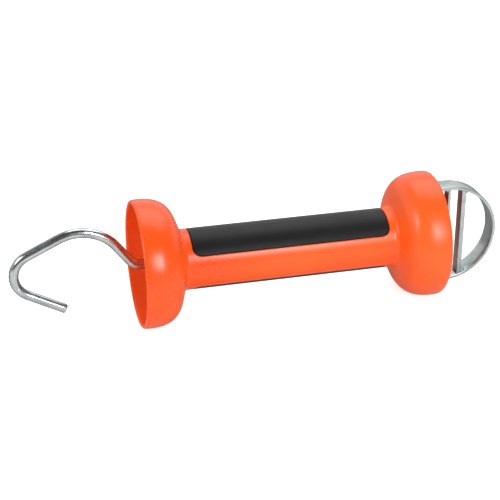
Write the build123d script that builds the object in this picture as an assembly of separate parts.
from build123d import *
import math
import os

os.makedirs("parts", exist_ok=True)

# Electric-fence gate handle with a tape buckle, in millimetres.
# Origin: on the handle's axis, midway between the two bell rims.
# +X runs to the rear, toward the tape buckle; the hook is at the front, -X. +Z is up.
# The hook rises above the axis, then curls down so that its tip lies below it.

# ---------------------------------------------------------------- shared sizes
RIM_TO_RIM = 146.2          # length of the moulded spool
HALF = RIM_TO_RIM / 2
TUBE_R = 14.52              # grip tube, outside
BORE_R = 11.0               # grip tube, inside
WEB_T = 5.3                 # web that closes the front end of the tube
WEB_HOLE_R = 4.55
NECK_R = 1.8                # blend between the tube and each bell
RIM_FLAT_R = (29.05, 29.55)  # narrow flat land on the rim's end face, inner and outer radius

# Bell outlines: (distance from the bell's rim, radius).
BELL_OUT = [
    (1.43, 30.41), (2.9, 30.47), (5.24, 30.42), (8.10, 30.18), (10.95, 29.55), (13.81, 28.30),
    (16.19, 26.37), (18.10, 23.68), (19.52, 20.15), (20.95, 15.95), (21.36, TUBE_R),
]
BELL_IN = [
    (0.9, 28.60), (5.0, 28.52), (9.0, 28.05), (12.0, 26.88), (14.3, 25.05),
    (16.3, 22.45), (17.6, 19.90), (18.55, 17.45), (18.9, 16.20),
]
FLOOR_X = HALF - BELL_IN[-1][0]    # plane of each cup's floor, measured from the middle
NECK_X = HALF - BELL_OUT[-1][0]    # where the tube meets each bell
WEB_BACK_X = -FLOOR_X + WEB_T

WIRE_R = 2.3                # hook wire
PIN_R = 3.0                 # swivel rivet
RUN = 0.05                  # radial running clearance
END_GAP = 0.05              # axial gap between neighbouring parts
SNUG = 0.02                 # gap between close-fitting parts

SEAT_R = 8.2                # spring seat, pressure washer and round plate of the yoke
SEAT_BORE_R = 3.1           # hole in the spring seat and yoke, clear of the wire
SPIGOT_R = 5.7              # spigots that enter the spring's ends
SPIGOT_L = 2.2


# ---------------------------------------------------------------- helpers
def rod(radius, x0, x1):
    """Cylinder about the handle's axis."""
    return Pos((x0 + x1) / 2, 0, 0) * Rot(0, 90, 0) * Cylinder(radius, x1 - x0)


def ring(r_out, r_in, x0, x1):
    """Plain round ring about the handle's axis."""
    return Pos((x0 + x1) / 2, 0, 0) * Rot(0, 90, 0) * (
        Cylinder(r_out, x1 - x0) - Cylinder(r_in, x1 - x0 + 2))


def cone(r0, r1, x0, x1):
    """Cone about the handle's axis, radius r0 at x0 and r1 at x1."""
    return Pos((x0 + x1) / 2, 0, 0) * Rot(0, 90, 0) * Cone(r0, r1, x1 - x0)


def block(x0, x1, y0, y1, z0, z1):
    return Pos((x0 + x1) / 2, (y0 + y1) / 2, (z0 + z1) / 2) * Box(x1 - x0, y1 - y0, z1 - z0)


def xz(x, z):
    return Vector(x, 0, z)


def circles(shape, radius, x_min=-math.inf, x_max=math.inf):
    """Circular edges of one radius whose centres lie between x_min and x_max."""
    return [edge for edge in shape.edges().filter_by(GeomType.CIRCLE)
            if abs(edge.radius - radius) < 0.01 and x_min < edge.center().X < x_max]


def put(name, shape):
    shape.label = name
    export_step(shape, "parts/" + name + ".step")


# ---------------------------------------------------------------- spool body
def bell_curve(outline, side):
    return Spline([xz(side * (HALF - depth), radius) for depth, radius in outline])


def lip(side, land_r, mid_depth, mid_rise, bell_start):
    """Arc from an edge of the rim's flat land to the first point of a bell outline."""
    depth, radius = bell_start
    return ThreePointArc(xz(side * HALF, land_r), xz(side * (HALF - mid_depth), land_r + mid_rise),
                         xz(side * (HALF - depth), radius))


def outer_lip(side):
    return lip(side, RIM_FLAT_R[1], 0.40, 0.61, BELL_OUT[0])


def inner_lip(side):
    return lip(side, RIM_FLAT_R[0], 0.22, -0.33, BELL_IN[0])


def body_profile():
    """Closed outline of the spool wall; z is the radius."""
    floor_r = BELL_IN[-1][1]
    return [
        # outside, front rim to rear rim
        Line(xz(-HALF, RIM_FLAT_R[0]), xz(-HALF, RIM_FLAT_R[1])),
        outer_lip(-1),
        bell_curve(BELL_OUT, -1),
        Line(xz(-NECK_X, TUBE_R), xz(NECK_X, TUBE_R)),
        bell_curve(BELL_OUT, 1),
        outer_lip(1),
        Line(xz(HALF, RIM_FLAT_R[1]), xz(HALF, RIM_FLAT_R[0])),
        # rear cup, tube bore, front web, front cup
        inner_lip(1),
        bell_curve(BELL_IN, 1),
        Line(xz(FLOOR_X, floor_r), xz(FLOOR_X, BORE_R)),
        Line(xz(FLOOR_X, BORE_R), xz(WEB_BACK_X, BORE_R)),
        Line(xz(WEB_BACK_X, BORE_R), xz(WEB_BACK_X, WEB_HOLE_R)),
        Line(xz(WEB_BACK_X, WEB_HOLE_R), xz(-FLOOR_X, WEB_HOLE_R)),
        Line(xz(-FLOOR_X, WEB_HOLE_R), xz(-FLOOR_X, floor_r)),
        bell_curve(BELL_IN, -1),
        inner_lip(-1),
    ]


body = revolve(make_face(Wire(body_profile())), Axis.X, 360)
necks = [edge for edge in circles(body, TUBE_R) if abs(abs(edge.center().X) - NECK_X) < 0.1]
body = fillet(necks, NECK_R)

# ---------------------------------------------------------------- grip pads and their pockets
PAD_HALF_X = 47.9           # half length along the axis
PAD_HALF_DEG = 53.75        # half of the arc one pad covers
PAD_T = 1.8
PAD_CORNER_R = 4.2          # plan radius of the pad corners
PAD_ROLL_DEG = 7.6          # both pads are turned this far about the axis
PAD_GAP = 0.12              # joint line round each pad


def pad_solid(grow, r_in, r_out, corner_r):
    """A curved, round-cornered pad centred on +Z, its sides moved out by grow."""
    shell = ring(r_out, r_in, -PAD_HALF_X - 2, PAD_HALF_X + 2)
    half_x = PAD_HALF_X + grow
    half_arc = math.radians(PAD_HALF_DEG) + grow / TUBE_R
    # radial side faces: a sector that reaches well outside the shell
    reach = 40.0
    side_y = reach * math.sin(half_arc)
    side_z = reach * math.cos(half_arc)
    sector = Polygon((0, 0), (side_y, side_z), (0, 2.5 * reach), (-side_y, side_z), align=None)
    solid = shell & extrude(Plane.YZ * sector, half_x, both=True)

    # each plan corner is rounded by a radial cut: a square post less a quarter round
    post = corner_r + 2
    corner_angle = half_arc - corner_r / TUBE_R
    for side_x in (-1, 1):
        for side_arc in (-1, 1):
            cutter = Box(post, post, 30) - Pos(-post / 2, -post / 2, 0) * Cylinder(corner_r, 30)
            cutter = Pos(post / 2, post / 2, 0) * cutter
            cutter = Pos(0, 0, 15) * cutter
            if side_x < 0:
                cutter = cutter.mirror(Plane.YZ)
            if side_arc < 0:
                cutter = cutter.mirror(Plane.XZ)
            solid = solid - Rot(-side_arc * math.degrees(corner_angle), 0, 0) * (
                Pos(side_x * (half_x - corner_r), 0, 0) * cutter)
    return solid


def rolled(shape, upper):
    return Rot(PAD_ROLL_DEG + (0 if upper else 180), 0, 0) * shape


def axis_distance(point):
    return math.hypot(point.Y, point.Z)


pocket = pad_solid(PAD_GAP, TUBE_R - PAD_T, TUBE_R + 3, PAD_CORNER_R + PAD_GAP)
body = body - rolled(pocket, True) - rolled(pocket, False)

# Plug screws run into the tube wall, between the pads.
SCREW_PITCH_R = 12.75
PILOT_R = 0.95
PILOT_DEPTH = 8.6
roll = math.radians(PAD_ROLL_DEG)
screw_places = [Pos(0, side * SCREW_PITCH_R * math.cos(roll), side * SCREW_PITCH_R * math.sin(roll))
                for side in (-1, 1)]
for place in screw_places:
    body = body - place * rod(PILOT_R, FLOOR_X - PILOT_DEPTH, FLOOR_X + 1)
put("handle_body", body)

pad = pad_solid(0.0, TUBE_R - PAD_T + SNUG, TUBE_R, PAD_CORNER_R)
outer_edges = [edge for edge in pad.edges()
               if axis_distance(edge.center()) > TUBE_R - 0.5
               and abs(axis_distance(edge @ 0) - TUBE_R) < 0.02
               and abs(axis_distance(edge @ 1) - TUBE_R) < 0.02]
# The rounding may fail where the corner cuts meet the curved face; a chamfer then stands in.
try:
    pad = fillet(outer_edges, 0.45)
except Exception:
    pad = chamfer(outer_edges, 0.3)
put("grip_pad_upper", rolled(pad, True))
put("grip_pad_lower", rolled(pad, False))

# ---------------------------------------------------------------- front bush
BUSH_FLANGE_R = 7.0
BUSH_FLANGE_T = 1.5
bush_front_x = -FLOOR_X - BUSH_FLANGE_T
bush = ring(WEB_HOLE_R - RUN, WIRE_R + RUN, -FLOOR_X, WEB_BACK_X) + \
    ring(BUSH_FLANGE_R, WIRE_R + RUN, bush_front_x, -FLOOR_X)
bush = chamfer(circles(bush, BUSH_FLANGE_R, x_max=-FLOOR_X - 1), 0.4)
put("front_bush", bush)

# ---------------------------------------------------------------- rear plug and screws
PLUG_FRONT_X = 50.1
PLUG_FLANGE_R = 15.4
PLUG_FLANGE_T = 2.6
PLUG_BOSS_R = 7.0
PLUG_BOSS_T = 0.6
SINK_DEPTH = 1.3
SCREW_SHANK_R = 0.93
SCREW_DEPTH = 8.0           # full-width shank below the cup floor
SCREW_HEAD_R = 2.25
SCREW_HEAD_T = 1.2

flange_x = FLOOR_X + PLUG_FLANGE_T
boss_x = flange_x + PLUG_BOSS_T
plug = ring(BORE_R - RUN, PIN_R + RUN, PLUG_FRONT_X, FLOOR_X) + \
    ring(PLUG_FLANGE_R, PIN_R + RUN, FLOOR_X, flange_x) + \
    ring(PLUG_BOSS_R, PIN_R + RUN, flange_x, boss_x)
plug = fillet(circles(plug, PLUG_FLANGE_R, x_min=FLOOR_X + 2), 0.8)
for place in screw_places:
    hole = rod(1.15, FLOOR_X - 1, FLOOR_X + 5)
    sink = cone(1.15, 2.45, flange_x - SINK_DEPTH, flange_x)
    plug = plug - place * hole - place * sink
put("rear_plug", plug)


def plug_screw():
    """Countersunk cross-recess screw on the handle's axis, head to the rear."""
    end_x = FLOOR_X - SCREW_DEPTH
    top_x = flange_x - 0.1
    head_x = top_x - SCREW_HEAD_T
    screw = rod(SCREW_SHANK_R, end_x, head_x + 0.05) + \
        cone(0.45, SCREW_SHANK_R, end_x - 0.5, end_x) + \
        cone(SCREW_SHANK_R, SCREW_HEAD_R, head_x, top_x)
    for angle in (0, 90):
        screw = screw - Pos(top_x, 0, 0) * Rot(angle, 0, 0) * Box(1.2, 2.6, 0.5)
    return screw


put("plug_screws", Compound(children=[place * plug_screw() for place in screw_places]))

# ---------------------------------------------------------------- draw yoke and crosshead
# U-shaped strap lying in the bore; its tongues pass through the crosshead.
YOKE_BASE_T = 1.6
YOKE_ARM_T = 1.4
YOKE_Y = 10.2               # outside of the arms
YOKE_HALF_W = 3.5
YOKE_ARM_END_X = 47.0
TONGUE_END_X = 49.9
TONGUE_HALF_W = 2.0
TONGUE_GAP = 0.04
CROSSHEAD_R = 10.7
CROSSHEAD_BACK_X = 49.0

yoke_x = WEB_BACK_X + END_GAP
yoke_base_back_x = yoke_x + YOKE_BASE_T
yoke = block(yoke_x, yoke_base_back_x, -YOKE_Y, YOKE_Y, -YOKE_HALF_W, YOKE_HALF_W)
yoke = yoke + rod(SEAT_R, yoke_x, yoke_base_back_x)
for side in (-1, 1):
    y0, y1 = sorted((side * (YOKE_Y - YOKE_ARM_T), side * YOKE_Y))
    yoke = yoke + block(yoke_x, YOKE_ARM_END_X, y0, y1, -YOKE_HALF_W, YOKE_HALF_W)
    yoke = yoke + block(YOKE_ARM_END_X, TONGUE_END_X, y0, y1, -TONGUE_HALF_W, TONGUE_HALF_W)
yoke = yoke - rod(SEAT_BORE_R, -60, 0)
bends = [edge for edge in yoke.edges().filter_by(Axis.Z)
         if abs(abs(edge.center().Y) - YOKE_Y) < 0.01 and edge.center().X < WEB_BACK_X + 0.3]
yoke = fillet(bends, 1.2)
put("draw_yoke", yoke)

crosshead = ring(CROSSHEAD_R, PIN_R + RUN, YOKE_ARM_END_X + END_GAP, CROSSHEAD_BACK_X)
slot_half_w = TONGUE_HALF_W + TONGUE_GAP
for side in (-1, 1):
    y0, y1 = sorted((side * (YOKE_Y - YOKE_ARM_T - TONGUE_GAP), side * (YOKE_Y + TONGUE_GAP)))
    crosshead = crosshead - block(46, 50, y0, y1, -slot_half_w, slot_half_w)
put("yoke_crosshead", crosshead)

# ---------------------------------------------------------------- spring and its seats
SPRING_WIRE_R = 1.0
SPRING_MEAN_R = 7.0
SPRING_TURNS = 15
SPRING_X0 = -45.7           # front seat face
SPRING_X1 = 24.0            # pressure washer face
CLOSED_PITCH = 2 * SPRING_WIRE_R + 0.06   # rise of a closed end turn
STEPS_PER_TURN = 24
WASHER_T = 2.0

seat = ring(SEAT_R, SEAT_BORE_R, yoke_base_back_x, SPRING_X0) + \
    ring(SPIGOT_R, SEAT_BORE_R, SPRING_X0, SPRING_X0 + SPIGOT_L)
seat = chamfer(circles(seat, SPIGOT_R, x_min=SPRING_X0 + 1), 0.5)
put("spring_seat", seat)


def smooth(u):
    u = max(0.0, min(1.0, u))
    return u * u * (3 - 2 * u)


def rise_rate(turn, open_pitch):
    """Rise per turn: closed end turns that run smoothly into the open ones."""
    from_end = min(turn, SPRING_TURNS - turn)
    return CLOSED_PITCH + (open_pitch - CLOSED_PITCH) * smooth((from_end - 0.85) / 0.7)


def heights(open_pitch):
    """Rise of the wire's centre at each step along the coil."""
    rises = [0.0]
    for i in range(SPRING_TURNS * STEPS_PER_TURN):
        turn = (i + 0.5) / STEPS_PER_TURN
        rises.append(rises[-1] + rise_rate(turn, open_pitch) / STEPS_PER_TURN)
    return rises


def fitted_pitch(total_rise):
    """Open pitch, found by bisection, that gives the coil this total rise."""
    low, high = 2.0, 8.0
    for _ in range(60):
        middle = (low + high) / 2
        if heights(middle)[-1] < total_rise:
            low = middle
        else:
            high = middle
    return (low + high) / 2


end_inset = SPRING_WIRE_R + SNUG
coil_points = []
for i, rise in enumerate(heights(fitted_pitch(SPRING_X1 - SPRING_X0 - 2 * end_inset))):
    angle = 2 * math.pi * i / STEPS_PER_TURN
    coil_points.append((SPRING_X0 + end_inset + rise,
                        SPRING_MEAN_R * math.sin(angle), SPRING_MEAN_R * math.cos(angle)))
coil = Spline(coil_points)
spring = sweep(Plane(origin=coil @ 0, z_dir=coil % 0) * Circle(SPRING_WIRE_R - SNUG),
               path=coil, is_frenet=True)
put("compression_spring", spring)

washer_back_x = SPRING_X1 + WASHER_T
washer = ring(SEAT_R, WIRE_R + RUN, SPRING_X1, washer_back_x) + \
    ring(SPIGOT_R, WIRE_R + RUN, SPRING_X1 - SPIGOT_L, SPRING_X1)
washer = chamfer(circles(washer, SPIGOT_R, x_max=SPRING_X1 - 1), 0.5)
put("pressure_washer", washer)

# ---------------------------------------------------------------- hook
# Corners of the wire's centre line (x, z), from its rear end to the tip,
# and the bend radius at each inner corner.
HOOK_XZ = [(36.0, 0.0), (-73.84, 0.0), (-92.54, 24.52), (-133.80, 5.16), (-127.00, -7.89),
           (-106.86, -18.92)]
HOOK_BEND_R = [6.0, 21.5, 11.2, 12.7]


def rounded_path(corners, radii):
    """Straight runs joined by tangent arcs."""
    edges = []
    last = corners[0]
    for before, corner, after, radius in zip(corners, corners[1:], corners[2:], radii):
        to_before = (before - corner).normalized()
        to_after = (after - corner).normalized()
        half_angle = math.acos(max(-1, min(1, to_before.dot(to_after)))) / 2
        setback = radius / math.tan(half_angle)
        arc_start = corner + to_before * setback
        arc_end = corner + to_after * setback
        inward = (to_before + to_after).normalized()
        arc_mid = corner + inward * (radius / math.sin(half_angle)) - inward * radius
        edges.append(Line(last, arc_start))
        edges.append(ThreePointArc(arc_start, arc_mid, arc_end))
        last = arc_end
    edges.append(Line(last, corners[-1]))
    return Wire(edges)


hook_corners = [xz(x, z) for x, z in HOOK_XZ]
hook_start, hook_tip = hook_corners[0], hook_corners[-1]
hook = sweep(Plane(origin=hook_start, z_dir=(-1, 0, 0)) * Circle(WIRE_R),
             path=rounded_path(hook_corners, HOOK_BEND_R))
end_edges = [edge for edge in hook.edges()
             if any((edge @ 0 - centre).length < WIRE_R + 0.02
                    and (edge @ 0.5 - centre).length < WIRE_R + 0.02
                    for centre in (hook_tip, hook_start))]
hook = chamfer(end_edges, 0.35)
put("hook", hook)

# ---------------------------------------------------------------- collar, washer and nuts on the hook
COLLAR_R = 4.6
COLLAR_L = 4.5
THRUST_WASHER_T = 1.0
NUT_ACROSS = 8.0            # across flats
HOOK_NUT_T = 4.0
LOCK_NUT_T = 2.7

collar_back_x = bush_front_x - END_GAP
collar = ring(COLLAR_R, WIRE_R + 0.01, collar_back_x - COLLAR_L, collar_back_x)
collar = fillet(circles(collar, COLLAR_R), 0.6)
put("stop_collar", collar)


def hex_nut(x0, height):
    """Plain nut on the wire, its corners trimmed round."""
    corner_r = NUT_ACROSS / 2 / math.cos(math.pi / 6)
    nut = Pos(x0 + height / 2, 0, 0) * Rot(0, 90, 0) * extrude(
        RegularPolygon(corner_r, 6), height / 2, both=True)
    nut = nut & rod(corner_r - 0.25, x0, x0 + height)
    return nut - rod(WIRE_R + SNUG, x0 - 1, x0 + height + 1)


thrust_x = washer_back_x + END_GAP
nut_x = thrust_x + THRUST_WASHER_T
put("thrust_washer", ring(5.2, WIRE_R + SNUG, thrust_x, nut_x))
put("hook_nut", hex_nut(nut_x, HOOK_NUT_T))
put("lock_nut", hex_nut(nut_x + HOOK_NUT_T + END_GAP, LOCK_NUT_T))

# ---------------------------------------------------------------- swivel rivet group
BUCKLE_BASE_X = 71.5        # outside of the D's straight base
BUCKLE_T = 1.6              # strip thickness
HEAD_R = 6.0
HEAD_T = 3.0
HEAD_BACK_X = 46.0
PEEN_R = 4.9
PEEN_T = 1.7
OUTER_WASHER_T = 1.2
SLEEVE_R = 4.8

peen_x = BUCKLE_BASE_X + BUCKLE_T + SNUG
shank = rod(PIN_R, HEAD_BACK_X - 1, peen_x)
head = rod(HEAD_R, HEAD_BACK_X - HEAD_T, HEAD_BACK_X)
head = fillet(circles(head, HEAD_R, x_max=HEAD_BACK_X - 2), 1.4)
peen = rod(PEEN_R, peen_x, peen_x + PEEN_T)
peen = fillet(circles(peen, PEEN_R, x_min=peen_x + 1), 1.3)
put("swivel_rivet", shank + head + peen)

put("head_washer", ring(7.2, PIN_R + RUN, HEAD_BACK_X + SNUG, YOKE_ARM_END_X))

outer_washer_x = boss_x + END_GAP
outer_washer_back_x = outer_washer_x + OUTER_WASHER_T
put("outer_washer", ring(6.8, PIN_R + RUN, outer_washer_x, outer_washer_back_x))

sleeve = ring(SLEEVE_R, PIN_R + RUN, outer_washer_back_x + END_GAP, BUCKLE_BASE_X - 0.03)
sleeve = chamfer(circles(sleeve, SLEEVE_R), 0.4)
put("spacer_sleeve", sleeve)

# ---------------------------------------------------------------- tape buckle
BUCKLE_W = 9.6              # strip width of the D
BUCKLE_R = 25.0             # outside radius of the D's bow
BUCKLE_CX = 80.3            # centre of the bow
BUCKLE_CORNER_R = 3.2       # outside bend radius of the D's corners
BAR_Y = (-4.6, 0.8)         # both cross bars, nearly flush with the strip's -Y edge
GUIDE_X = (79.4, 80.8)      # thin guide bar
TAPE_X = (86.4, 88.8)       # thick tape bar


def d_block(inset, width):
    """Solid D, its outline moved in from the outside of the strip by inset."""
    half_z = BUCKLE_R - inset
    x0 = BUCKLE_BASE_X + inset
    corner = max(BUCKLE_CORNER_R - inset, 0.5)
    corner_mid = corner * (1 - math.sqrt(0.5))
    outline = Wire([
        Line(xz(x0, -(half_z - corner)), xz(x0, half_z - corner)),
        ThreePointArc(xz(x0, half_z - corner), xz(x0 + corner_mid, half_z - corner_mid),
                      xz(x0 + corner, half_z)),
        Line(xz(x0 + corner, half_z), xz(BUCKLE_CX, half_z)),
        ThreePointArc(xz(BUCKLE_CX, half_z), xz(BUCKLE_CX + half_z, 0), xz(BUCKLE_CX, -half_z)),
        Line(xz(BUCKLE_CX, -half_z), xz(x0 + corner, -half_z)),
        ThreePointArc(xz(x0 + corner, -half_z), xz(x0 + corner_mid, -(half_z - corner_mid)),
                      xz(x0, -(half_z - corner))),
    ])
    return extrude(make_face(outline), width / 2, dir=(0, 1, 0), both=True)


buckle = d_block(0, BUCKLE_W) - d_block(BUCKLE_T, BUCKLE_W + 2)
strip_edges = [edge for edge in buckle.edges() if abs(abs(edge.center().Y) - BUCKLE_W / 2) < 0.01]
buckle = fillet(strip_edges, 0.3)
buckle = buckle - rod(PIN_R + 0.03, BUCKLE_BASE_X - 1, BUCKLE_BASE_X + BUCKLE_T + 1)
put("buckle_ring", buckle)

inside = d_block(BUCKLE_T + SNUG, BUCKLE_W)   # room within the D


def cross_bar(x_span, edge_r):
    bar = block(*x_span, *BAR_Y, -30, 30)
    return fillet(bar.edges().filter_by(Axis.Z), edge_r) & inside


put("guide_bar", cross_bar(GUIDE_X, 0.2))
put("tape_bar", cross_bar(TAPE_X, 0.35))

# Weld beads in the corners between the bars and the D:
# (end of the bar in z, bar face x, side of that face in x, bead radius)
WELDS = [
    (-1, TAPE_X[1], 1, 2.9),
    (-1, GUIDE_X[0], -1, 1.3),
    (1, TAPE_X[1], 1, 1.7),
    (1, GUIDE_X[0], -1, 1.3),
]


def weld_bead(end, face_x, side, radius):
    """Round-ended bead along Y, kept to one side of the bar and within the D."""
    from_centre = max(face_x - BUCKLE_CX, 0)
    z = end * math.sqrt((BUCKLE_R - BUCKLE_T) ** 2 - from_centre ** 2)
    y0 = BAR_Y[0] + radius + 0.1
    y1 = max(BAR_Y[1] - radius - 0.1, BAR_Y[0] + radius + 0.5)
    bead = Pos(face_x, (y0 + y1) / 2, z) * Rot(90, 0, 0) * Cylinder(radius, y1 - y0)
    bead = bead + Pos(face_x, y0, z) * Sphere(radius) + Pos(face_x, y1, z) * Sphere(radius)
    x0, x1 = sorted((face_x + side * 0.01, face_x + side * 6))
    return (bead & block(x0, x1, -10, 10, -40, 40)) & inside


put("bar_welds", Compound(children=[weld_bead(*weld) for weld in WELDS]))
